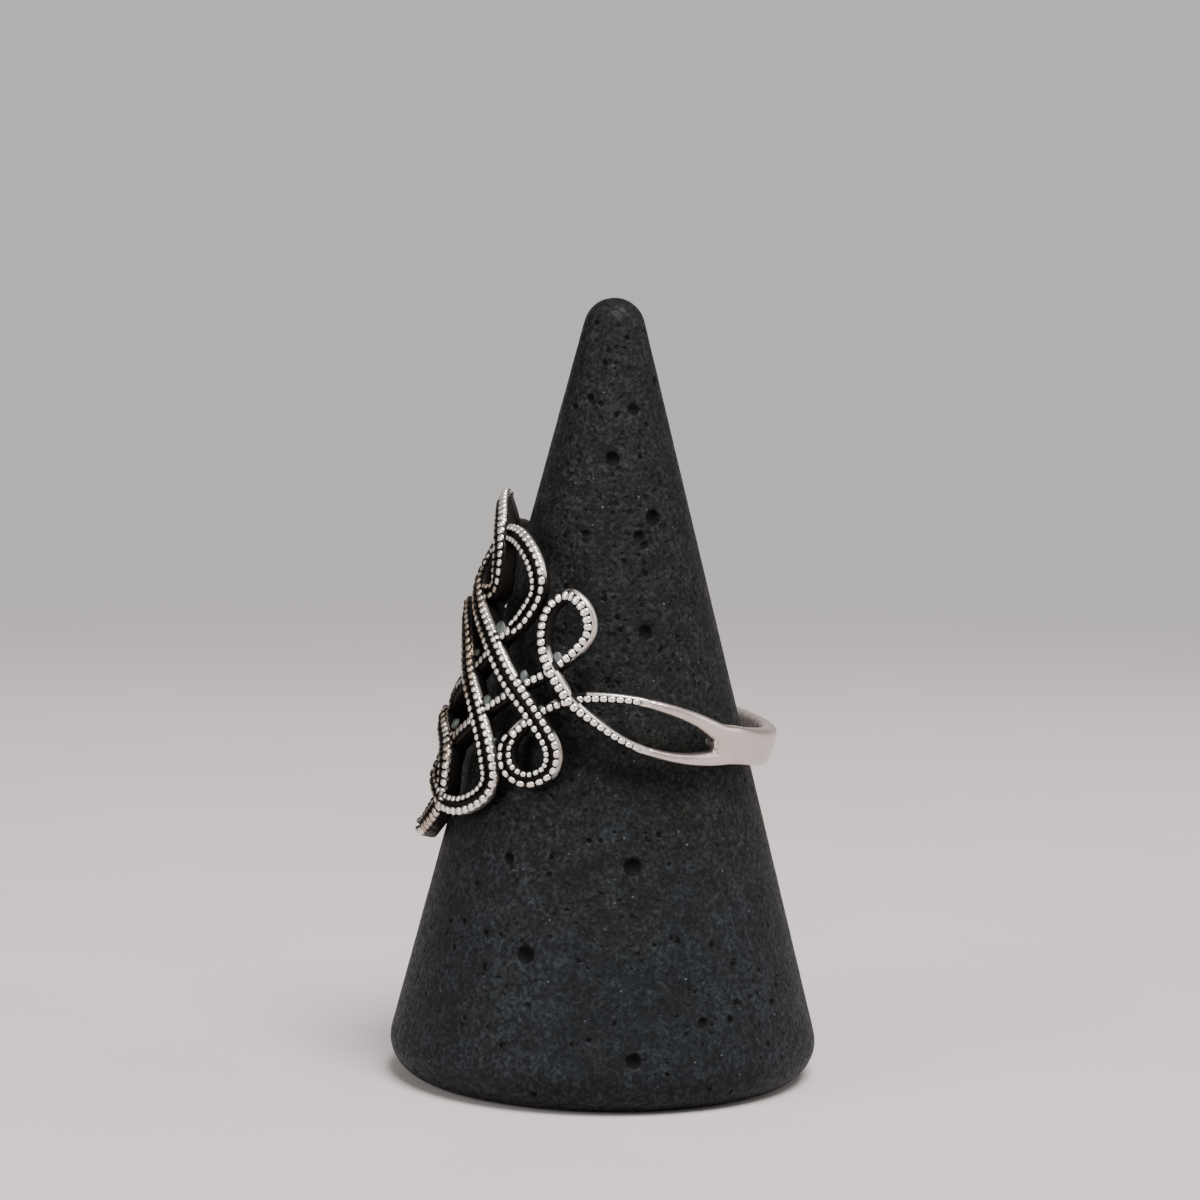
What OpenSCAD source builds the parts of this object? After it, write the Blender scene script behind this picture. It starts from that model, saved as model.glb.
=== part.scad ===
// Openwork silver ring on a rounded stone display cone.
// Two plaited strands, each a double or single beaded wire, knot together into a long
// saddle-shaped panel and run out as two arms into a plain band behind the finger.
// Frame: millimetres, +Z up, origin in the middle of the cone's flat base.
// The ring's panel faces -X and its near side faces -Y.

/* [Ring] */
// Outer radius of the plain band
ring_r = 10.05; // [10:0.05:10.2]
// Thickness of a strand, from its crest to the side that lies on the finger
strand_t = 0.9; // [0.8:0.05:0.95]
// Thickness of the plain band
band_t = 1.1; // [0.9:0.05:1.2]
// Lean of the ring on the cone, in degrees
ring_tilt = 15; // [14:0.1:16]
// Height of the ring's centre above the base
ring_z = 22.72; // [22.5:0.01:23.2]
// Sideways place of the ring's centre
ring_x = 0.365; // [0.3:0.005:0.45]

/* [Strands] */
// Rise of the upper strand and drop of the lower one where two cross
weave = 0.2; // [0.1, 0.12, 0.14, 0.18, 0.2, 0.22]
// Extra rise of the limbs that close the two tips of the panel
tip_rise = 0.1; // [0.04:0.02:0.18]
// Depth of the groove between the two rows of a double strand
groove_d = 0.17; // [0.1:0.01:0.22]
// Width above which a strand carries two rows
double_w = 0.86; // [0.8:0.01:0.9]

/* [Stone cone] */
// Height of the cone
cone_h = 46.7; // [46.5:0.1:46.8]
// Angle between the cone's axis and its side
cone_angle = 14.45; // [14.3:0.01:14.5]
// Radius of the rounded tip
tip_r = 1.87; // [1.6:0.01:1.9]
// Radius of the rounded edge of the base
edge_r = 2.1; // [1.5:0.1:2.4]
// Part of a pit's radius that its centre stands out of the stone
pit_proud = 0.35; // [0.2:0.05:0.6]

/* [Hidden] */

// Columns of a strand's table, one row for each bend
// ANGLE goes round the finger from the panel's middle, HEIGHT along the finger
ANGLE = 0;
HEIGHT = 1;
WIDTH = 2;
LIMB = 3;

// Upper arm of the band, lower eyelet, long bar, upper side loop, inner turn, lower tip
UPPER = [
    [158,  0.40, 1.00, 0], [148,  0.42, 1.06, 0], [138,  0.42, 1.12, 0],
    [130,  0.40, 1.10, 0], [119,  0.86, 0.78, 0], [108,  1.08, 0.62, 0],
    [ 96,  1.07, 0.50, 0], [ 84,  0.70, 0.58, 0], [ 74,  0.05, 0.70, 0],
    [ 65, -1.10, 0.72, 0], [ 57.5, -2.45, 0.80, 0], [ 55, -3.60, 0.98, 0],
    [ 58.5, -4.85, 1.00, 0], [ 66, -5.22, 1.00, 0], [ 73, -4.30, 1.02, 0],
    [ 72.5, -2.90, 1.06, 0], [ 63, -1.50, 1.10, 0], [ 49,  0.17, 1.12, 0],
    [ 35,  1.95, 1.12, 0], [ 22,  3.45, 1.10, 0], [ 14,  5.10, 1.05, 0],
    [ 15,  7.00, 1.02, 0], [ 25,  8.00, 1.00, 0], [ 37,  7.95, 1.04, 0],
    [ 47.5,  6.90, 1.06, 0], [ 51,  5.45, 1.06, 0], [ 47,  3.60, 1.04, 0],
    [ 39,  2.05, 0.74, 0], [ 29,  0.05, 0.70, 0], [ 18, -1.35, 0.72, 0],
    [  7, -2.60, 0.90, 0], [  3.4, -3.55, 1.00, 0], [ 10, -4.35, 1.04, 0],
    [ 20, -5.25, 1.06, 0], [ 24, -6.50, 1.06, 1], [ 23.5, -8.10, 1.04, 1],
    [ 17, -9.50, 1.02, 1], [  7, -10.55, 0.96, 1], [  0, -10.80, 0.90, 1],
    [ -7, -10.55, 0.96, 1]];

// Lower arm of the band, upper eyelet, cross bar, lower side loop, inner turn, upper tip
LOWER = [
    [158, -0.68, 1.00, 0], [148, -0.72, 1.06, 0], [138, -0.80, 1.10, 0],
    [130, -1.15, 0.90, 0], [119, -1.50, 0.66, 0], [108, -1.60, 0.52, 0],
    [ 96, -1.38, 0.50, 0], [ 84, -0.72, 0.58, 0], [ 75, -0.05, 0.76, 0],
    [ 67,  1.05, 0.80, 0], [ 61,  2.15, 0.80, 0], [ 57.5,  3.60, 0.80, 0],
    [ 58,  5.00, 0.80, 0], [ 63.5,  5.78, 0.82, 0], [ 70.5,  5.36, 0.86, 0],
    [ 74,  4.25, 0.86, 0], [ 71.5,  2.95, 0.80, 0], [ 64,  1.30, 0.74, 0],
    [ 54, -0.15, 0.72, 0], [ 44, -1.62, 0.72, 0], [ 34, -3.02, 0.74, 0],
    [ 24, -4.40, 0.88, 0], [ 15, -5.60, 1.00, 0], [ 15.5, -7.10, 1.02, 0],
    [ 25, -8.20, 1.04, 0], [ 37, -8.15, 1.06, 0], [ 47, -7.10, 1.08, 0],
    [ 50.5, -5.70, 1.08, 0], [ 46, -4.05, 1.08, 0], [ 37, -2.20, 1.08, 0],
    [ 27, -0.55, 1.06, 0], [ 18,  1.35, 1.00, 0], [  9,  2.45, 0.98, 0],
    [  3.4,  3.40, 0.98, 0], [ 12,  4.10, 0.98, 0], [ 24,  4.35, 1.00, 0],
    [ 28.5,  5.30, 1.02, 1], [ 27,  6.80, 1.02, 1], [ 20,  8.50, 1.00, 1],
    [  9,  9.60, 0.94, 1], [  0,  9.90, 0.86, 1], [ -9,  9.60, 0.94, 1]];

// Plain band behind the finger, from the point of the shank's opening
BAND = [
    [126, -0.35, 0.30, 0], [130, -0.30, 0.70, 0], [136, -0.24, 1.70, 0],
    [145, -0.17, 2.24, 0], [160, -0.15, 2.32, 0], [180, -0.15, 2.32, 0],
    [200, -0.15, 2.32, 0]];

// Rows of a table where a strand is divided, so that no piece crosses itself
// The last piece runs on to the middle, where it meets its mirror image
UPPER_CUTS = [0.5, 13, 25, 38];
LOWER_CUTS = [0.5, 13, 27, 40];
BAND_CUTS = [1, 5];

// Drop of the panel's crest below the band's radius, by height along the finger
PANEL = [
    [-11.5, 0.75], [-8, 0.63], [-5, 0.45], [0, 0.12], [4, -0.03], [8, -0.01], [11, 0.39]];
// Angles between which the panel's radius turns into the band's
blend_from = 70;
blend_to = 120;

// Solder joints where strands meet, with the columns angle, height, size
SOLDER = [
    [ 67,  2.20, 0.42], [ 57,  0.62, 0.38], [ 43, -1.25, 0.40], [ 42,  3.00, 0.44],
    [ 26,  0.30, 0.36], [ 53, -3.70, 0.40], [ 27,  4.70, 0.36], [ 22, -4.60, 0.36],
    [ 61, -0.60, 0.34], [ 71,  0.60, 0.30]];
solder_t = 0.5;
solder_rim = 0.1;
solder_top_share = 0.7;
// Depth of a solder joint's top below the crest
solder_drop = 0.2;
// Joints between the two inner turns, on the panel's centreline
CENTRE_SOLDER = [-3.55, 3.40];
centre_solder_r = 0.62;

// Stations of a strand for each row of its table
steps = 2.5;
// Small step along a table, to find a strand's direction
nudge = 0.05;
// Share of a strand's half width at its crest, for two rows, one row and the flat band
crest_double = 0.62;
crest_single = 0.42;
crest_flat = 0.86;
// Share of the half width on the finger's side, and of the thickness at the widest level
foot_share = 0.78;
waist_share = 0.5;
// Depth of a crest's two edges below the strand's centreline
crown = 0.03;
// Gain in width over which one row turns into two
double_blend = 0.1;
// Angle over which the weave starts behind the panel
weave_blend = 20;

// Pits in the stone, with the columns azimuth from the near side, height, radius
PITS = [
    [ 31, 33.8, 0.55], [  0, 37.2, 0.50], [ 23, 40.1, 0.42], [-27, 40.7, 0.30],
    [-47, 40.2, 0.28], [ 19, 27.2, 0.50], [-35, 14.1, 0.40], [  9, 14.0, 0.62],
    [-24,  8.9, 0.60], [ 28,  5.2, 0.36], [ 37,  5.5, 0.28], [  8,  3.3, 0.52],
    [ 69, 41.8, 0.40]];
// Pits of the far side, spread by the golden angle from a lowest height
far_pits = 12;
golden = 137.5;
far_pit_z = 3;
far_pit_span = 40;
// Largest radius of a far pit, and the share by which the smallest falls short
far_pit_r = 0.45;
far_pit_spread = 0.4;
far_pit_turn = 1.4;

apex_z = cone_h - tip_r + tip_r / sin(cone_angle);
edge_x = ((apex_z - edge_r) * sin(cone_angle) - edge_r) / cos(cone_angle);

function cubic(a, b, c, d, t) =
    b + (c - a) * t / 2 + (2 * a - 5 * b + 4 * c - d) * t * t / 2
    + (3 * b - 3 * c + d - a) * t * t * t / 2;

function at(table, s) =
    let(i = min(max(floor(s), 0), len(table) - 2), last = len(table) - 1)
    cubic(table[max(i - 1, 0)], table[i], table[i + 1], table[min(i + 2, last)], s - i);

function panel_r(v) = ring_r - lookup(v, PANEL);

function crest_r(angle, v) =
    let(share = min(max((angle - blend_from) / (blend_to - blend_from), 0), 1))
    panel_r(v) * (1 - share) + ring_r * share;

function polar(angle, v, r) = [-r * cos(angle), -r * sin(angle), v];

function unit(a) = a / norm(a);

// Rise of a strand from its direction: a falling strand goes over, a rising one under
function weave_rise(row, next) =
    let(across = (next[ANGLE] - row[ANGLE]) * PI / 180 * ring_r,
        along = next[HEIGHT] - row[HEIGHT])
    -2 * weave * across * along / (across * across + along * along);

function centre(table, s, flat) =
    let(row = at(table, s),
        share = flat ? 0 : min(max((blend_to - row[ANGLE]) / weave_blend, 0), 1),
        rise = weave_rise(at(table, s - nudge), at(table, s + nudge)) * share
            + (flat ? 0 : tip_rise * row[LIMB]))
    polar(row[ANGLE], row[HEIGHT], crest_r(row[ANGLE], row[HEIGHT]) + rise);

// One cross-section: foot, flank, crest, groove, and back down the other side
function section(table, s, flat) =
    let(row = at(table, s), p = centre(table, s, flat),
        t = unit(centre(table, s + nudge, flat) - centre(table, s - nudge, flat)),
        out = [-cos(row[ANGLE]), -sin(row[ANGLE]), 0],
        side = unit(cross(t, out)),
        up = cross(side, t),
        half = row[WIDTH] / 2,
        double = flat ? 0 : min(max((row[WIDTH] - double_w) / double_blend, 0), 1),
        crest = flat ? crest_flat : crest_single + (crest_double - crest_single) * double,
        thick = flat ? band_t : strand_t,
        shape = [
            [-foot_share * half, -thick], [-half, -waist_share * thick],
            [-crest * half, -crown], [0, -groove_d * double],
            [crest * half, -crown], [half, -waist_share * thick],
            [foot_share * half, -thick]])
    [for (q = shape) p + side * q[0] + up * q[1]];

function sections(table, from, to, flat) =
    let(n = ceil((to - from) * steps))
    [for (k = [0 : n]) section(table, from + (to - from) * k / n, flat)];

// The same sections on the other side of the panel's middle, from there outwards
function mirrored(rings) =
    [for (k = [len(rings) - 2 : -1 : 0]) [for (p = rings[k]) [p[0], -p[1], p[2]]]];

module skin(rings) {
    n = len(rings) - 1;
    m = len(rings[0]);
    points = [for (ring = rings, p = ring) p];
    sides = [for (k = [0 : n - 1], j = [0 : m - 1], half = [0, 1])
        let(a = k * m + j, b = k * m + (j + 1) % m)
        half == 0 ? [a, b + m, b] : [a, a + m, b + m]];
    ends = [[for (j = [0 : m - 1]) j], [for (j = [m - 1 : -1 : 0]) n * m + j]];
    polyhedron(points, concat(sides, ends), convexity = 6);
}

// Pieces of a strand that lie on one side of the panel's middle
module side_pieces(table, cuts) {
    for (k = [0 : len(cuts) - 3]) {
        skin(sections(table, cuts[k], cuts[k + 1], false));
    }
}

// The piece of a strand that crosses the middle
module middle_piece(table, cuts, flat = false) {
    near = sections(table, cuts[len(cuts) - 2], cuts[len(cuts) - 1], flat);
    skin(concat(near, mirrored(near)));
}

module solder_joint(joint) {
    r = crest_r(joint[0], joint[1]) - solder_drop;
    translate(polar(joint[0], joint[1], r)) rotate([0, -90, joint[0]]) hull() {
        translate([0, 0, -solder_t]) cylinder(r = joint[2], h = solder_rim, $fn = 8);
        translate([0, 0, -solder_rim])
            cylinder(r = joint[2] * solder_top_share, h = solder_rim, $fn = 8);
    }
}

module side_of_ring() {
    side_pieces(UPPER, UPPER_CUTS);
    side_pieces(LOWER, LOWER_CUTS);
    for (joint = SOLDER) {
        solder_joint(joint);
    }
}

module ring() {
    color("silver")
    translate([ring_x, 0, ring_z]) rotate([0, ring_tilt, 0]) union() {
        side_of_ring();
        mirror([0, 1, 0]) side_of_ring();
        middle_piece(UPPER, UPPER_CUTS);
        middle_piece(LOWER, LOWER_CUTS);
        middle_piece(BAND, BAND_CUTS, true);
        for (v = CENTRE_SOLDER) {
            solder_joint([0, v, centre_solder_r]);
        }
    }
}

// A pit is a ball whose centre stands a little outside the stone's side
module pit(azimuth, z, r) {
    side_x = (apex_z - z) * tan(cone_angle) + r * pit_proud / cos(cone_angle);
    rotate([0, 0, azimuth]) translate([0, -side_x, z]) sphere(r = r, $fn = 24);
}

module cone_profile() {
    tip_z = cone_h - tip_r;
    polygon([
        [0, 0], [edge_x, 0],
        [edge_x + edge_r * cos(cone_angle), edge_r + edge_r * sin(cone_angle)],
        [tip_r * cos(cone_angle), tip_z + tip_r * sin(cone_angle)],
        [0, tip_z + tip_r * sin(cone_angle)]]);
    intersection() {
        translate([edge_x, edge_r]) circle(r = edge_r, $fn = 64);
        translate([edge_x / 2, 0]) square([edge_x, 2 * edge_r]);
    }
    intersection() {
        translate([0, tip_z]) circle(r = tip_r, $fn = 64);
        translate([0, tip_z]) square([tip_r, tip_r]);
    }
}

module cone_stand() {
    color([0.20, 0.21, 0.22])
    difference() {
        rotate_extrude($fn = 128) cone_profile();
        for (p = PITS) {
            pit(p[0], p[1], p[2]);
        }
        for (k = [1 : far_pits]) {
            pit(90 + (k * golden) % 180, far_pit_z + far_pit_span * k / (far_pits + 1),
                far_pit_r * (1 - far_pit_spread * ((k * far_pit_turn) % 1)));
        }
    }
}

ring();
cone_stand();
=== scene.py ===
import math

import bpy
import numpy as np
from bpy.props import FloatProperty, FloatVectorProperty, PointerProperty
from mathutils import Matrix, Vector, kdtree, noise


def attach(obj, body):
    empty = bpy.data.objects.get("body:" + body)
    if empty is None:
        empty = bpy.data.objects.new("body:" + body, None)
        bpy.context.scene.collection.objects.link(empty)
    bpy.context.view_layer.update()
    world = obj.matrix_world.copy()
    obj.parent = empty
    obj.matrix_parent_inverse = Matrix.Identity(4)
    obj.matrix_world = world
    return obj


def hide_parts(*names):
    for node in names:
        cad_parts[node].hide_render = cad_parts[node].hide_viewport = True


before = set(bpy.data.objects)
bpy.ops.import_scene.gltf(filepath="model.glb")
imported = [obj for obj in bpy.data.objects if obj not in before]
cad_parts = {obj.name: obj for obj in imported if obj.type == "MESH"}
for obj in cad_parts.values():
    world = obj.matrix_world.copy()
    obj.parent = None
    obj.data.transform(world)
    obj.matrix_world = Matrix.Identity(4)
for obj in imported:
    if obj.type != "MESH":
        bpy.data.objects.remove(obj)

bl_info = {
    "name": "Openwork ring on a stone cone",
    "version": (1, 0, 0),
    "blender": (4, 5, 0),
    "location": "View3D > Sidebar > Ring",
    "description": "Beaded strands, solder, pitted stone and a stage for the packed ring and cone",
    "category": "Object",
}

# All sizes in the tables and shape functions are millimetres, as in the part's source
MM = 0.001

# Ring, as in the part's source
RING_R = 10.05
RING_TILT = 15.0
RING_PLACE = (0.365, 0.0, 22.72)
STRAND_T = 0.9
BAND_T = 1.1
WEAVE = 0.2
TIP_RISE = 0.1
BLEND_FROM, BLEND_TO = 70.0, 120.0
WEAVE_BLEND = 20.0
NUDGE = 0.05
# Angles between which the strands grow deeper towards the panel's middle, and by how much
DEEPER_FROM, DEEPER_TO, DEEPER = 42.0, 26.0, 0.36
# Heights along the finger between which that falls to nothing below the upper tip, and the
# least share of it, which the tip itself reaches: a negative one makes it less deep
DEEPER_TOP, DEEPER_END, DEEPER_LEAST = 8.2, 9.3, -0.45
PANEL = ((-11.5, 0.75), (-8, 0.63), (-5, 0.45), (0, 0.12), (4, -0.03), (8, -0.01), (11, 0.39))

# Columns of a strand's table: angle round the finger, height along it, width, the polish of its
# right and left flanks (1 for a polished rim, 2 for one that is polished down to the foot),
# limb of a tip, and how far the beads are pushed to the right of the way the strand runs
ANGLE, HEIGHT, WIDTH, RIGHT, LEFT, LIMB, SHIFT = COLUMNS = range(7)


def padded(*rows):
    """A table of rows that may leave out the zeros at their end."""
    return np.array([row + (0,) * (len(COLUMNS) - len(row)) for row in rows])


UPPER = padded(
    (158, 0.40, 1.00, 1, 1), (148, 0.42, 1.06, 1, 1), (138, 0.42, 1.12, 1, 1),
    (130, 0.40, 1.10, 1, 1), (119, 0.86, 0.78, 1, 1), (108, 1.08, 0.62, 1, 1),
    (96, 1.07, 0.50, 1, 0.3), (84, 0.70, 0.58, 1), (74, 0.05, 0.70, 0.9, 0.1),
    (65, -1.10, 0.72, 0.2, 0.2), (57.5, -2.45, 0.80, 0.6), (55, -3.60, 0.98, 0.1),
    (58.5, -4.85, 1.00), (66, -5.22, 1.00, 0.3, 0, 0, -0.03), (73, -4.30, 1.02, 0.65, 0, 0, -0.05),
    (72.5, -2.90, 1.06, 0.6, 0, 0, -0.04), (63, -1.50, 1.10, 0.1), (49, 0.17, 1.12, 1),
    (35, 1.95, 1.12, 1), (22, 3.45, 1.10, 0.6, 0.1), (14, 5.10, 1.05, 0.1, 0.1),
    (15, 7.00, 1.02, 0.1, 0.6), (25, 8.00, 1.00, 0, 1), (37, 7.95, 1.04, 0, 1),
    (47.5, 6.90, 1.06, 0, 0.9), (51, 5.45, 1.06, 0, 0.1), (47, 3.60, 1.04, 0, 0.1),
    (39, 2.05, 0.74), (29, 0.05, 0.70, 0.1, 0.1), (18, -1.35, 0.72, 0.1, 0.1),
    (7, -2.60, 0.90, 0.2, 0.2), (3.4, -3.55, 1.00, 0.2, 0.3), (10, -4.35, 1.04, 0.1, 0.6),
    (20, -5.25, 1.06, 0.1, 1), (24, -6.50, 1.06, 0.1, 0.6, 1), (23.5, -8.10, 1.04, 0.1, 0.6, 1),
    (17, -9.50, 1.02, 0, 1.6, 1), (7, -10.55, 0.96, 0, 1.9, 1), (0, -10.80, 0.90, 0, 1.9, 1),
    (-7, -10.55, 0.96, 0, 1.9, 1))
LOWER = padded(
    (158, -0.68, 1.00, 1, 1), (148, -0.72, 1.06, 1, 1), (138, -0.80, 1.10, 1, 1),
    (130, -1.15, 0.90, 1, 1), (119, -1.50, 0.66, 1, 1), (108, -1.60, 0.52, 1, 1),
    (96, -1.38, 0.50, 1, 0.3), (84, -0.72, 0.58, 1, 0.1), (75, -0.05, 0.76, 1),
    (67, 1.05, 0.80, 1), (61, 2.15, 0.80, 0.5), (57.5, 3.60, 0.80, 0, 0.1),
    (58, 5.00, 0.80, 0, 0.1), (63.5, 5.78, 0.82, 0, 0.4), (70.5, 5.36, 0.86, 0, 0.7),
    (74, 4.25, 0.86, 0, 0.75, 0, 0.02), (71.5, 2.95, 0.80, 0, 0.6, 0, 0.01),
    (64, 1.30, 0.74, 0, 0.1), (54, -0.15, 0.72, 0, 0.1), (44, -1.62, 0.72, 0, 0.1),
    (34, -3.02, 0.74, 0, 0.1), (24, -4.40, 0.88, 0.1, 0.1), (15, -5.60, 1.00), (15.5, -7.10, 1.02),
    (25, -8.20, 1.04, 1.4), (37, -8.15, 1.06, 1.9), (47, -7.10, 1.08, 1.8),
    (50.5, -5.70, 1.08, 1.2), (46, -4.05, 1.08, 1), (37, -2.20, 1.08, 1), (27, -0.55, 1.06, 0.8),
    (18, 1.35, 1.00, 0.3, 0.1), (9, 2.45, 0.98, 0.2, 0.2), (3.4, 3.40, 0.98, 0.2, 0.2),
    (12, 4.10, 0.98, 0.1, 0.1), (24, 4.35, 1.00, 0.1, 0.1), (28.5, 5.30, 1.02, 0.2, 0, 1),
    (27, 6.80, 1.02, 0.3, 0, 1), (20, 8.50, 1.00, 0.9, 0, 1), (9, 9.60, 0.94, 1.4, 0, 1),
    (0, 9.90, 0.86, 2.0, 0, 1), (-9, 9.60, 0.94, 1.4, 0, 1))
BAND = padded(
    (126, -0.35, 0.30, 1, 1), (130, -0.30, 0.70, 1, 1), (136, -0.24, 1.70, 1, 1),
    (145, -0.17, 2.24, 1, 1), (160, -0.15, 2.32, 1, 1), (180, -0.15, 2.32, 1, 1),
    (200, -0.15, 2.32, 1, 1))
# Both strands, with the row of each table where it reaches the panel's middle
STRANDS = ("upper", UPPER, 38), ("lower", LOWER, 40)
# Row where the band reaches its own middle, row where the arms start, and the last row that
# an arm may reach
BAND_END, ARM_START, ARM_ROWS = 5, 0.5, 9
# Samples along a strand and along an arm, among which a station is looked for
STRAND_SAMPLES, ARM_SAMPLES = 4000, 2000
# Width from which a strand carries two rows of beads, and how much more makes the change full
DOUBLE_FROM, DOUBLE_OVER = 0.86, 0.1
# A strand starts inside its arm this many degrees beyond its last bead, and grows to its full
# size over a short run: the run's ends, and the shares there
STRAND_OVERLAP, STRAND_START = 3, ((0, 0.7), (0.8, 1))
# Spacing of the arms' and the band's cross-sections, as multiples of the strands'
ARM_SPACING, BAND_SPACING = 2, 3
# Edge of the mesh that arms and band are cast in, and how it is smoothed
CAST_VOXEL, SOFTEN_FACTOR, SOFTEN_STEPS = 0.085, 0.5, 12
# Points of a tube that are nearer to each other are merged
WELD = 0.0005

# Angles round the finger between which the beads fade out along an arm, and the least share of
# a bead that is set there
FADE = {"upper": (95.0, 100.0), "lower": (98.0, 104.0)}
BEAD_LEAST = 0.05
# Half height of the beads in one row and in two, and how far they stand out of the crest
ONE_TALL, TWO_TALL, BEAD_PROUD = 0.20, 0.24, 0.02
# Least and most step between two beads, as shares of the pitch
STEP_LEAST, STEP_MOST = 0.55, 1.15
# Power of the rounded box that a bead is: 2 is a ball, and more is squarer
BEAD_POWER = 3.6
# A polished rim pushes a single row off the middle, and turns the beads of the outer row of
# two into teeth that lean down its flank; shares of the strand's width, and millimetres
ROW_END, ONE_SHIFT = 0.43, 0.10
TWO_SHIFT, TWO_GROWTH, TWO_DROP = 0.02, 0.08, 0.10
# How much wider the teeth get on a tip, how many times as far the row beside them moves out,
# and the push towards the middle that leaves no teeth
TIP_GROWTH, INNER_SHIFTS, TOOTH_PUSH = 0.06, 3, 0.1
# How much further a push moves the row that it comes from, and the other one
TWO_PUSH_OUTER, TWO_PUSH_INNER = 2.0, 0.8
BEAD_LEAN, TOOTH_LEAN = math.radians(8), math.radians(28)
# Angles round the finger and the polish of a bead's foot there; it grows by 1 up to the crest
BEAD_FOOT = (5, 20, 35, 60, 80), (-0.50, -0.42, -0.30, -0.24, -0.08)
# What a polished rim adds to it, and to the bead's side at the rim and the side away from it
RIM_FOOT, RIM_GLOW, AWAY_GLOW = 0.2, 0.6, 0.1

# Distances from the finger's middle and polish there, for the inner side of arms and band
INNER_POLISH = (9.05, 9.45), (0.5, 1.0)
# Distances between two crossing limbs' middles where the painted shade on the lower one ends
# and is full
CROSSING_FAR, CROSSING_NEAR = 1.0, 0.7
# Spacing of the points by which limbs are compared, and how far apart the strands' and the
# halves' points are counted, so that a run tells whose they are
LIMB_SPACING, NEXT_STRAND, NEXT_HALF = 0.1, 1000, 500
# A limb gets painted shade from points whose runs are this far from its own, and that are
# this much farther from the finger
OTHER_RUN, OTHER_ABOVE = 2.2, 0.15
# Distances from the finger's middle, towards the panel's, between which the silver grows darker
# in tarnish-coloured patches, and heights above the floor between which that ends, below the
# upper tip
PANEL_DARK_FROM, PANEL_DARK_TO, PANEL_DARK_TOP, PANEL_DARK_END = -7.7, -8.9, 31.0, 32.6

# Solder joints of both halves, with the columns angle, height, length, width and turn in
# degrees
SOLDER = (
    (38, 2.50, 0.50, 0.36, -62), (65.5, 2.00, 0.44, 0.32, -58), (54.5, 0.45, 0.36, 0.26, -62),
    (40, -1.70, 0.40, 0.28, -65), (21, -3.80, 0.36, 0.28, 40), (48, -3.80, 0.26, 0.14, 78),
    (26, 0.70, 0.32, 0.22, 30), (64, -1.00, 0.28, 0.20, 20), (12, 4.90, 0.30, 0.20, 60))
# Joints between the two inner turns, on the panel's centreline, with the same columns
CENTRE_SOLDER = ((0, -3.55, 0.62, 0.42, 0), (0, 3.40, 0.62, 0.42, 0))
# Dark fillets between strands of the far half, with the same columns: painted shade, a dark
# solid set where openings would otherwise show the bright floor behind the ring
SHADE_FILLETS = ((31, 3.45, 0.46, 0.40, 90), (29.5, -6.10, 0.80, 0.24, 90))
# The three tables with their depth below the strands' crests, their polish and their halves
MOUNDS = ((SOLDER, 0.40, 0.9, (1, -1)), (SHADE_FILLETS, 0.62, 0.0, (-1,)),
          (CENTRE_SOLDER, 0.45, 0.35, (1,)))
# A mound's half height, the growth that its unevenness needs, and that unevenness: its share,
# its scale and how far one mound's noise is from the next one's
MOUND_TALL, MOUND_GROWTH = 0.22, 1.15
MOUND_UNEVEN, MOUND_NOISE, MOUND_SEED = 0.16, 1.3, 3.1

# Least divisor
TINY = 1e-6

# Stone cone, as in the part's source
CONE_H = 46.7
CONE_ANGLE = math.radians(14.45)
TIP_R = 1.87
EDGE_R = 2.1
PIT_PROUD = 0.35
APEX_Z = CONE_H - TIP_R + TIP_R / math.sin(CONE_ANGLE)
EDGE_X = ((APEX_Z - EDGE_R) * math.sin(CONE_ANGLE) - EDGE_R) / math.cos(CONE_ANGLE)
# Pits, with the columns azimuth from the near side, height and radius
PITS = (
    (31, 33.8, 0.55), (0, 37.2, 0.50), (23, 40.1, 0.42), (-27, 40.7, 0.30),
    (-47, 40.2, 0.28), (19, 27.2, 0.50), (-35, 14.1, 0.40), (9, 14.0, 0.62),
    (-24, 8.9, 0.60), (28, 5.2, 0.36), (37, 5.2, 0.26), (8, 3.3, 0.52), (69, 41.8, 0.40),
    (34, 9.4, 0.23), (-39, 9.8, 0.25), (-19, 13.4, 0.20), (55, 5.7, 0.25), (-4, 4.4, 0.17),
    (49, 6.4, 0.15), (-49, 10.2, 0.20), (15, 9.6, 0.15), (41, 8.2, 0.20), (61, 7.0, 0.15),
    (-6, 15.4, 0.20), (-2, 15.4, 0.17), (-14, 40.4, 0.20), (21, 44.3, 0.20), (-37, 45.2, 0.20),
    (-13, 42.8, 0.25), (-52, 42.7, 0.20), (36, 39.2, 0.20), (-42, 36.8, 0.20),
    (25, 37.3, 0.20), (-18, 32.8, 0.25), (19, 32.7, 0.42), (22, 32.2, 0.30))
# Pits of the far side: how many, the largest one's radius, the share of it that others lose
# and the step of that loss. The small ones aren't in the part's source
FAR_PITS, SMALL_FAR_PITS = (12, 0.45, 0.4, 1.4), (18, 0.26, 0.45, 1.43)
# Height of the lowest, and the height over which they are spread
FAR_Z, SMALL_FAR_Z = (3, 40), (2, 43)
# Turn from one to the next, turn of the small ones against the others, and the step of a small
# one's height
GOLDEN, SMALL_TURN, GOLDEN_STEP = 137.5, 60, 0.618
# The mesh is made finer this far round a pit, and a pit's wall is uneven by this share
PIT_MARGIN, WALL_UNEVEN = 0.17, 0.2
# The stone's uneven face: its depth, the height where it starts, and its noises' scales with
# the second one's share
FACE_DEPTH, FACE_FROM = 0.012, 0.3
FACE_NOISE, FACE_FINE_NOISE, FACE_FINE = 1.4, 3.1, 0.6


# Shape of the ring

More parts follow.
